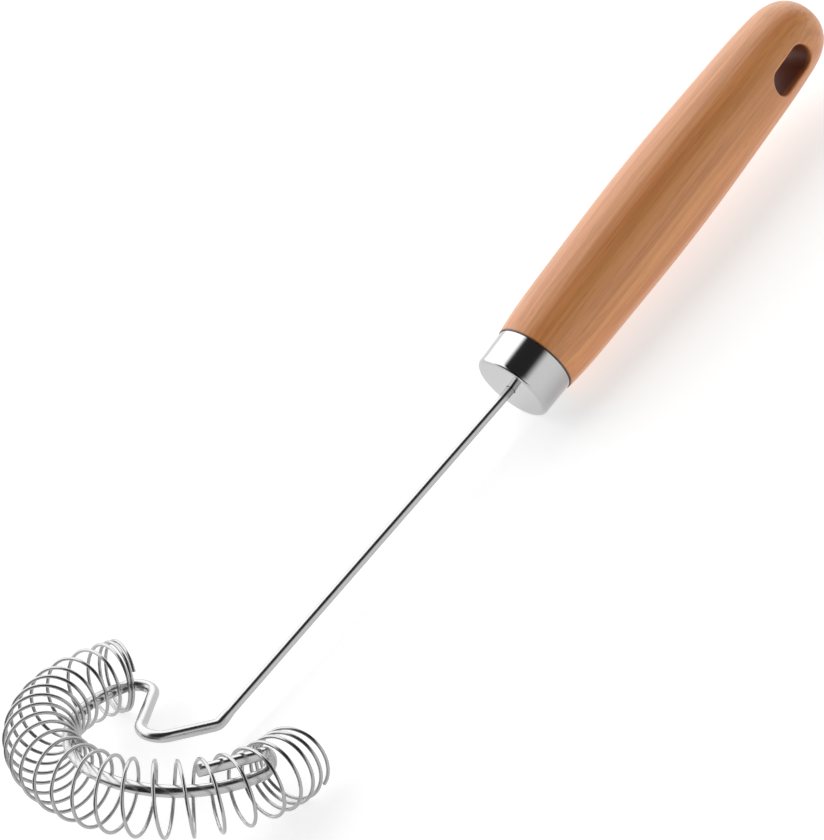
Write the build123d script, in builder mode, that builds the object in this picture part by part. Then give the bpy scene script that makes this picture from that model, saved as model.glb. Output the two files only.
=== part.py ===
from build123d import *
from math import cos, radians, sin
import os

# Coil whisk (spring whisk): a turned beech handle, a steel ferrule, one bent wire and a coil
# spring threaded loosely on the wire's ring. Millimetres.
#
# Every piece is drawn in the whisk's own frame: the origin is where the wire leaves the ferrule
# and +X runs up the handle. The ring frame sits at the centre of the wire's ring, X down the
# ring's slope towards the handle and Z square to the ring. Export lays the whisk on the table,
# Z = 0, as it comes to rest: on both ends of the coil and on the handle.

# ---- wire ----
ring_wire = 3.0  # diameter of the ring, its S-bend and its hook
shaft_wire = 2.4  # the same wire drawn down for the shaft
ring_radius = 27.9  # to the wire's centreline
ring_start = 83  # degrees round the ring frame, where the S-bend leaves the ring
ring_end = 271  # degrees, where the hook turns back
entry_bend = 4.4  # centreline radius from the ring into the S-bend's leg
entry_turn = 132  # degrees
leg_length = 15.3  # the leg's straight part
corner_bend = 5.2  # centreline radius at the leg's far end
corner_turn = 122  # degrees
bridge_length = 12.4  # from the corner's bend to where the shaft turns up
shaft_bend = 3.0  # centreline radius
neck_start = 2.0  # along the shaft from the centre of that turn
neck_length = 2.5  # over which the wire thins to the shaft
tang_length = 48.0  # of shaft inside the handle
tang_bend = 8.0  # the shaft is not quite in line with the handle

# ---- hook at the ring's free end ----
hook_rise = 5.4  # between the hook's two legs, centre to centre
hook_lean = 4  # degrees that the hook leans towards the ring's centre
hook_turn_in = 15  # degrees that the return leg turns in to follow the ring
hook_turn_radius = 7.0
hook_leg = 14.4

# ---- ring frame ----
ring_centre = (-118.9, 5.7, 9.5)
ring_slope = 35.8  # degrees between the ring's plane and the handle

# ---- coil spring ----
coil_wire = 0.9
coil_radius = 8.75  # to the coil wire's centreline
coil_circle = 32.1  # radius of the circle that the coil lies on
coil_centre = (-1.25, 2.0, 0)  # in the ring frame: the coil hangs towards one side
coil_tip = 150  # degrees round the coil's section, outward is 0, where the first turn starts
coil_start = 76.2  # degrees round the ring frame
coil_stretches = (  # (turns, degrees of the circle per turn), from the S-bend to the hook
    (2, 2.4),
    (1, 7.4),
    (2, 9.9),
    (6, 8.2),
    (6, 8.8),
    (4, 10.6),
    (1.5, 11.1),
    (1.5, 7.1),
    (2.5, 4.55),
)
points_per_turn = 12

# ---- ferrule ----
ferrule_length = 10.2
ferrule_face_radius = 10.65
ferrule_mouth_radius = 10.9
ferrule_wall = 0.5
ferrule_corner = 1.2
ferrule_hole = 1.4  # radius

# ---- handle ----
wood_step = 0.25  # the wood stands proud of the ferrule's mouth
belly_radius = 12.95
belly_x = 62.0
shoulder_radius = 11.95
shoulder_x = 102.0
crown_radius = 10.75
crown_x = 122.0  # where the rounded end begins
handle_end = 133.0
fit_gap = 0.05  # all round between the ferrule and the wood's spigot
bore_radius = 2.1
bore_end = 50.0
slot_x = 113.4
slot_length = 15.7
slot_width = 7.4
slot_roll = 10  # degrees that the hanging slot is turned from level
slot_break = 0.5  # softened edge

# ---- rest on the table: the origin is under the middle of the whisk's box ----
rest = Location((12.08, -7.8, 10.62), (-1.35, -4.0, 0))

ring = Plane(Location(ring_centre, (0, ring_slope, 0)))
coil_plane = Plane(ring.location * Location(coil_centre))

os.makedirs("parts", exist_ok=True)

# ---- handle: a barrel with a spigot, a glue bore and a hanging slot ----
spigot_face = ferrule_face_radius - ferrule_wall - fit_gap
spigot_root = ferrule_mouth_radius - ferrule_wall - fit_gap
spigot_x = ferrule_wall + fit_gap
slot_plane = Plane(Location((slot_x, 0, 0), (-slot_roll, 0, 0)) * Plane.XZ.location)

with BuildPart() as handle:
    with BuildSketch(Plane.XZ):
        with BuildLine():
            spigot = Polyline(
                (bore_end, 0),
                (bore_end, bore_radius),
                (spigot_x, bore_radius),
                (spigot_x, spigot_face - 1),
                (spigot_x + 1, spigot_face),
                (ferrule_length, spigot_root),
                (ferrule_length, ferrule_mouth_radius + wood_step),
            )
            barrel = Spline(
                spigot @ 1,
                (belly_x / 2, 12.35),
                (belly_x, belly_radius),
                (shoulder_x, shoulder_radius),
                (crown_x, crown_radius),
                tangents=((1, 0.14), (1, -0.11)),
            )
            crown = Spline(barrel @ 1, (handle_end, 0), tangents=((1, -0.11), (0, -1)))
            Line(crown @ 1, spigot @ 0)
        make_face()
    revolve(axis=Axis.X)
    with BuildSketch(slot_plane):
        SlotOverall(slot_length, slot_width)
    extrude(amount=2 * belly_radius, both=True, mode=Mode.SUBTRACT)
    mouths = handle.edges(Select.LAST).filter_by(lambda edge: abs(edge.center().Y) > belly_radius / 2)
    fillet(mouths, radius=slot_break)
handle.part.label = "handle"
export_step(handle.part.moved(rest), "parts/handle.step")

# ---- ferrule: a drawn steel cup over the spigot, with a hole for the wire ----
mouth_x = ferrule_length - 0.1
with BuildPart() as ferrule:
    with BuildSketch(Plane.XZ):
        with BuildLine():
            hole = Line((ferrule_wall, ferrule_hole), (0, ferrule_hole))
            outside = FilletPolyline(
                hole @ 1,
                (0, ferrule_face_radius),
                (mouth_x, ferrule_mouth_radius),
                radius=ferrule_corner,
            )
            mouth = Line(outside @ 1, (mouth_x, ferrule_mouth_radius - ferrule_wall))
            FilletPolyline(
                mouth @ 1,
                (ferrule_wall, ferrule_face_radius - ferrule_wall),
                hole @ 0,
                radius=ferrule_corner - ferrule_wall,
            )
        make_face()
    revolve(axis=Axis.X)
ferrule.part.label = "ferrule"
export_step(ferrule.part.moved(rest), "parts/ferrule.step")

# ---- wire_frame: one wire, from the hook round the ring and the S-bend up to the tang ----
with BuildPart() as wire_frame:
    with BuildLine(ring) as head_path:
        arc = CenterArc((0, 0), ring_radius, ring_start, ring_end - ring_start)
        entry = JernArc(arc @ 0, -(arc % 0), entry_bend, -entry_turn)
        leg = Line(entry @ 1, entry @ 1 + (entry % 1) * leg_length)
        corner = JernArc(leg @ 1, leg % 1, corner_bend, corner_turn)
        turn_up = corner @ 1 + (corner % 1) * bridge_length
        shaft_way = (Vector(0, 0, 0) - turn_up).normalized()
        neck = turn_up + shaft_way * neck_start
        FilletPolyline(corner @ 1, turn_up, neck, radius=shaft_bend)

        inward = (ring.origin - arc @ 1).normalized()
        rise = ring.z_dir * cos(radians(hook_lean)) + inward * sin(radians(hook_lean))
        hook_top = arc @ 1 + rise * hook_rise
        ThreePointArc(arc @ 1, arc @ 1 + (rise + arc % 1) * (hook_rise / 2), hook_top)
        back = JernArc(hook_top, -(arc % 1), hook_turn_radius, -hook_turn_in)
        Line(back @ 1, back @ 1 + (back % 1) * hook_leg)
    with BuildSketch(Plane(neck, z_dir=shaft_way)) as ring_section:
        Circle(ring_wire / 2)
    sweep(path=head_path.wire())

    thinned = neck + shaft_way * neck_length
    with Locations(Plane(neck, z_dir=shaft_way).location):
        Cone(
            ring_wire / 2,
            shaft_wire / 2,
            neck_length,
            align=(Align.CENTER, Align.CENTER, Align.MIN),
        )
    with BuildLine() as shaft_path:
        FilletPolyline(thinned, (0, 0, 0), (tang_length, 0, 0), radius=tang_bend)
    with BuildSketch(Plane(thinned, z_dir=shaft_way)) as shaft_section:
        Circle(shaft_wire / 2)
    sweep(sections=shaft_section.sketch, path=shaft_path.wire())
wire_frame.part.label = "wire_frame"
export_step(wire_frame.part.moved(rest), "parts/wire_frame.step")

# ---- glue_plug: set epoxy that holds the tang in the handle's bore ----
with BuildPart() as glue_plug:
    with BuildSketch(Plane.YZ.offset(1.5)):
        Circle(bore_radius - 0.02)
        Circle(shaft_wire / 2 + 0.02, mode=Mode.SUBTRACT)
    extrude(amount=tang_length - 2.5)
glue_plug.part.label = "glue_plug"
export_step(glue_plug.part.moved(rest), "parts/glue_plug.step")


# ---- coil_spring: a helix wound round the coil's circle ----
def coil_point(turns):
    """The coil wire's centre after so many turns, in the coil plane's own coordinates."""
    along = coil_start
    left = turns
    for count, step in coil_stretches:
        along += min(left, count) * step
        left -= min(left, count)
    around = radians(coil_tip - 360 * turns)
    out = coil_circle + coil_radius * cos(around)
    return out * cos(radians(along)), out * sin(radians(along)), coil_radius * sin(around)


coil_turns = sum(count for count, step in coil_stretches)
coil_steps = round(coil_turns * points_per_turn)
with BuildPart() as coil_spring:
    with BuildLine(coil_plane) as coil_path:
        Spline(*[coil_point(coil_turns * i / coil_steps) for i in range(coil_steps + 1)])
    with BuildSketch(Plane(coil_path.line @ 0, z_dir=coil_path.line % 0)):
        Circle(coil_wire / 2)
    sweep(is_frenet=True)
coil_spring.part.label = "coil_spring"
export_step(coil_spring.part.moved(rest), "parts/coil_spring.step")
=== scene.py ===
from math import cos, radians, sin

import bpy
from mathutils import Matrix, Vector

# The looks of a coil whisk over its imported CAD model. Metres; the table is Z = 0 and the handle
# points along +X.

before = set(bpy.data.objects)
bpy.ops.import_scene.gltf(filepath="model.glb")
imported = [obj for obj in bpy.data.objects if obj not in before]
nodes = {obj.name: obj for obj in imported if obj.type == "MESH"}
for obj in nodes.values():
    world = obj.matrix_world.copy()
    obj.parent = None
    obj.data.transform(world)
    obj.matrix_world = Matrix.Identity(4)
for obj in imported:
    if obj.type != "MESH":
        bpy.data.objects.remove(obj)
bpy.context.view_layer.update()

# ---- the whisk's own frame: the origin is where the wire leaves the ferrule, +X up the handle ----
REST_PLACE = (0.01208, -0.0078, 0.01062)
REST_ROLL = radians(-1.35)
REST_PITCH = radians(-4.0)
REST = Matrix.Translation(REST_PLACE) @ (
    Matrix.Rotation(REST_ROLL, 4, "X") @ Matrix.Rotation(REST_PITCH, 4, "Y")
)
TO_WHISK = REST.inverted()

# ---- node helpers ----
# A colour Mix node's two colours in and its colour out.
COLOUR_A, COLOUR_B, MIXED = 6, 7, 2


def new_material(name):
    """An empty node material and its Principled shader."""
    material = bpy.data.materials.new(name)
    material.use_nodes = True
    tree = material.node_tree
    tree.nodes.clear()
    shader = tree.nodes.new("ShaderNodeBsdfPrincipled")
    output = tree.nodes.new("ShaderNodeOutputMaterial")
    tree.links.new(shader.outputs["BSDF"], output.inputs["Surface"])
    return material, tree, shader


def add(tree, kind, inputs=(), **settings):
    """A node with its settings, and its inputs set or linked in order of (socket, value)."""
    node = tree.nodes.new(kind)
    for key, value in settings.items():
        setattr(node, key, value)
    for socket, value in inputs:
        if isinstance(value, bpy.types.NodeSocket):
            tree.links.new(value, node.inputs[socket])
        else:
            node.inputs[socket].default_value = value
    return node


def whisk_space(tree, stretch):
    """The whisk's own coordinates, each multiplied by its stretch."""
    where = add(tree, "ShaderNodeTexCoord")
    turned = add(
        tree,
        "ShaderNodeMapping",
        [
            ("Vector", where.outputs["Object"]),
            ("Location", TO_WHISK.to_translation()),
            ("Rotation", TO_WHISK.to_euler("XYZ")),
        ],
        vector_type="POINT",
    )
    inputs = [("Vector", turned.outputs["Vector"]), ("Scale", stretch)]
    return add(tree, "ShaderNodeMapping", inputs).outputs["Vector"]


def noise(tree, stretch, detail):
    """Grey noise, longest where the stretch is smallest."""
    inputs = [("Vector", whisk_space(tree, stretch)), ("Scale", 1.0), ("Detail", detail)]
    return add(tree, "ShaderNodeTexNoise", inputs).outputs["Fac"]


def ramp(tree, value, stops):
    """A colour ramp over (position, colour) stops."""
    node = add(tree, "ShaderNodeValToRGB", [("Fac", value)])
    node.color_ramp.interpolation = "EASE"
    elements = node.color_ramp.elements
    while len(elements) < len(stops):
        elements.new(0.5)
    for element, (position, colour) in zip(elements, stops):
        element.position = position
        element.color = (*colour, 1)
    return node.outputs["Color"]


def mix(tree, factor, first, second, blend="MIX"):
    """Two colours blended, the second over the first."""
    inputs = [("Factor", factor), (COLOUR_A, first), (COLOUR_B, second)]
    return add(tree, "ShaderNodeMix", inputs, data_type="RGBA", blend_type=blend).outputs[MIXED]


def calculate(tree, operation, first, second):
    """A Math node's result."""
    inputs = [(0, first), (1, second)]
    return add(tree, "ShaderNodeMath", inputs, operation=operation).outputs["Value"]


def remap(tree, value, source, target=(0.0, 1.0), interpolation="LINEAR"):
    """A value carried from one range to another and held at its ends."""
    inputs = [
        ("Value", value),
        ("From Min", source[0]),
        ("From Max", source[1]),
        ("To Min", target[0]),
        ("To Max", target[1]),
    ]
    node = add(tree, "ShaderNodeMapRange", inputs, interpolation_type=interpolation)
    return node.outputs["Result"]


def dim(tree, colour, factor):
    """A colour multiplied by one number."""
    inputs = [(0, colour), ("Scale", factor)]
    return add(tree, "ShaderNodeVectorMath", inputs, operation="SCALE").outputs["Vector"]


def relief(tree, shader, height, strength, distance):
    """Fine bumps on a shader from a grey pattern."""
    inputs = [("Strength", strength), ("Distance", distance), ("Height", height)]
    bump = add(tree, "ShaderNodeBump", inputs)
    tree.links.new(bump.outputs["Normal"], shader.inputs["Normal"])


# ---- beech: long soft figure, fine pores, painted shade on the wall inside the hanging slot and a
# painted shade line where the wood meets the ferrule ----
SLOT_SHADE_RADIUS = 0.0103
SLOT_SHADE_FADE = 0.0012
SLOT_START_X = 0.1
SLOT_END_X = 0.1218
SLOT_SHADE_COLOUR = (0.24, 0.06, 0.02, 1)
MOUTH_X = 0.0103
SEAM_SHADE_WIDTH = 0.0005
SEAM_SHADE_LEVEL = 0.12


def painted_slot_shade(tree, along):
    """Where the painted shade goes: 1 on wood near the handle's axis between the slot's ends, and 0
    on the outside.
    """
    across = add(
        tree,
        "ShaderNodeVectorMath",
        [(0, whisk_space(tree, (0, 1, 1)))],
        operation="LENGTH",
    )
    fade = (SLOT_SHADE_RADIUS - SLOT_SHADE_FADE, SLOT_SHADE_RADIUS)
    deep = remap(tree, across.outputs["Value"], fade, (1.0, 0.0))
    before_end = calculate(tree, "LESS_THAN", along, SLOT_END_X)
    after_start = calculate(tree, "GREATER_THAN", along, SLOT_START_X)
    between = calculate(tree, "MULTIPLY", before_end, after_start)
    return calculate(tree, "MULTIPLY", deep, between)


def make_beech():
    """The handle's wood."""
    material, tree, wood = new_material("beech")
    broad = noise(tree, (5, 150, 150), 2.0)
    streaks = noise(tree, (9, 900, 900), 3.0)
    pores = noise(tree, (130, 3200, 3200), 2.0)
    figure = ramp(tree, broad, [(0.25, (0.63, 0.235, 0.074)), (0.75, (0.74, 0.325, 0.115))])
    lines = ramp(tree, streaks, [(0.35, (0.88, 0.84, 0.79)), (0.65, (1.04, 1.04, 1.04))])
    flecks = ramp(tree, pores, [(0.30, (0.82, 0.76, 0.70)), (0.42, (1, 1, 1))])
    lined = mix(tree, 1.0, figure, lines, "MULTIPLY")
    flecked = mix(tree, 0.7, lined, flecks, "MULTIPLY")
    place = add(tree, "ShaderNodeSeparateXYZ", [("Vector", whisk_space(tree, (1, 1, 1)))])
    along = place.outputs["X"]
    # Painted shade: the wood inside the hanging slot is darkened, standing in for the shade in the
    # recess.
    slot_shaded = mix(tree, painted_slot_shade(tree, along), flecked, SLOT_SHADE_COLOUR)
    # Painted shade: a dark line on the wood at the ferrule's mouth, standing in for the shade in
    # the gap between wood and ferrule.
    seam_shade_span = (MOUTH_X, MOUTH_X + SEAM_SHADE_WIDTH)
    painted_seam_shade = remap(tree, along, seam_shade_span, (SEAM_SHADE_LEVEL, 1.0), "SMOOTHSTEP")
    tree.links.new(dim(tree, slot_shaded, painted_seam_shade), wood.inputs["Base Color"])
    wood.inputs["Roughness"].default_value = 0.42
    wood.inputs["Specular IOR Level"].default_value = 0.4
    wood.inputs["Coat Weight"].default_value = 0.5
    wood.inputs["Coat Roughness"].default_value = 0.35
    relief(tree, wood, streaks, 0.15, 0.00015)
    return material


# ---- steel ----
MARK_DEPTH = 0.00001


def steel(name, colour, roughness, stretch):
    """Bright steel with fine marks, its roughness varying between two values."""
    material, tree, metal = new_material(name)
    metal.inputs["Base Color"].default_value = (*colour, 1)
    metal.inputs["Metallic"].default_value = 1.0
    marks = noise(tree, stretch, 3.0)
    tree.links.new(remap(tree, marks, (0.0, 1.0), roughness), metal.inputs["Roughness"])
    relief(tree, metal, marks, 0.2, MARK_DEPTH)
    return material


# ---- epoxy ----
def make_epoxy():
    """The set glue, cloudy amber."""
    material, tree, glue = new_material("epoxy")
    cloud = noise(tree, (300, 300, 300), 2.0)
    amber = ramp(tree, cloud, [(0.3, (0.42, 0.36, 0.22)), (0.7, (0.52, 0.46, 0.30))])
    tree.links.new(amber, glue.inputs["Base Color"])
    glue.inputs["Roughness"].default_value = 0.4
    return material


finish = {
    "handle": make_beech(),
    "ferrule": steel("polished_steel", (0.50, 0.50, 0.505), (0.08, 0.16), (1800, 90, 90)),
    "wire_frame": steel("drawn_wire_steel", (0.47, 0.47, 0.475), (0.16, 0.26), (500, 1500, 1500)),
    "coil_spring": steel("spring_steel", (0.41, 0.41, 0.415), (0.15, 0.25), (900, 2500, 2500)),
    "glue_plug": make_epoxy(),
}
for name, material in finish.items():
    mesh = nodes[name].data
    mesh.materials.clear()
    mesh.materials.append(material)

# ---- floor ----
FLOOR_HALF = 4.0
FLOOR_Z = -0.0001
FLOOR_GREY = 0.5
FLOOR_GLOW = 0.64
floor_mesh = bpy.data.meshes.new("floor")
signs = ((-1, -1), (1, -1), (1, 1), (-1, 1))
corners = [(x * FLOOR_HALF, y * FLOOR_HALF, FLOOR_Z) for x, y in signs]
floor_mesh.from_pydata(corners, [], [(0, 1, 2, 3)])
floor = bpy.data.objects.new("floor", floor_mesh)
bpy.context.scene.collection.objects.link(floor)
floor_material, tree, paper = new_material("floor_paper")
paper.inputs["Base Color"].default_value = (FLOOR_GREY, FLOOR_GREY, FLOOR_GREY, 1)
paper.inputs["Roughness"].default_value = 0.9
paper.inputs["Emission Color"].default_value = (1, 1, 1, 1)
paper.inputs["Emission Strength"].default_value = FLOOR_GLOW
floor_mesh.materials.append(floor_material)

# ---- camera ----
AIM = Vector((-0.0060, 0.0128, 0.0089))
AZIMUTH, ELEVATION, ROLL = radians(-26.61), radians(42.59), radians(-29.87)
DISTANCE = 0.7129
LENS = 120.0
back = Vector((sin(AZIMUTH) * cos(ELEVATION), -cos(AZIMUTH) * cos(ELEVATION), sin(ELEVATION)))
level = Vector((0, 0, 1)).cross(back).normalized()
upright = back.cross(level)
camera_data = bpy.data.cameras.new("camera")
camera_data.lens = LENS
camera_data.sensor_width = 36.0
camera = bpy.data.objects.new("camera", camera_data)
turn = Matrix((level, upright, back)).transposed().to_4x4() @ Matrix.Rotation(ROLL, 4, "Z")
camera.matrix_world = Matrix.Translation(AIM + back * DISTANCE) @ turn
bpy.context.scene.collection.objects.link(camera)
bpy.context.scene.camera = camera

# ---- studio: a dark panel overhead, a bright wall behind the whisk and a dimmer one in front, all
# of it darkened towards -X. The stops are in degrees from level in front, up and over ----
FRONT, PANEL, BACK = 1.1, 0.03, 2.1
WALL_STOPS = ((23, FRONT), (47, PANEL), (97, PANEL), (111, BACK))
HEAD_END = (-0.85, -0.65)
HEAD_END_LEVEL = 0.06
world = bpy.data.worlds.new("studio")
world.use_nodes = True
bpy.context.scene.world = world
tree = world.node_tree
tree.nodes.clear()
way = add(tree, "ShaderNodeTexCoord").outputs["Generated"]
heading = add(tree, "ShaderNodeSeparateXYZ", [("Vector", way)]).outputs
forward = calculate(tree, "MULTIPLY", heading["Y"], -1.0)
climb = calculate(tree, "ARCTAN2", heading["Z"], forward)
half_turn = remap(tree, climb, (0.0, radians(180)))
walls = ramp(tree, half_turn, [(angle / 180, (glow, glow, glow)) for angle, glow in WALL_STOPS])
past_head = remap(tree, heading["X"], HEAD_END, (HEAD_END_LEVEL, 1.0), "SMOOTHSTEP")
background = add(
    tree,
    "ShaderNodeBackground",
    [("Color", dim(tree, walls, past_head)), ("Strength", 1.0)],
)
add(tree, "ShaderNodeOutputWorld", [("Surface", background.outputs["Background"])])

bpy.context.scene.view_settings.view_transform = "Standard"
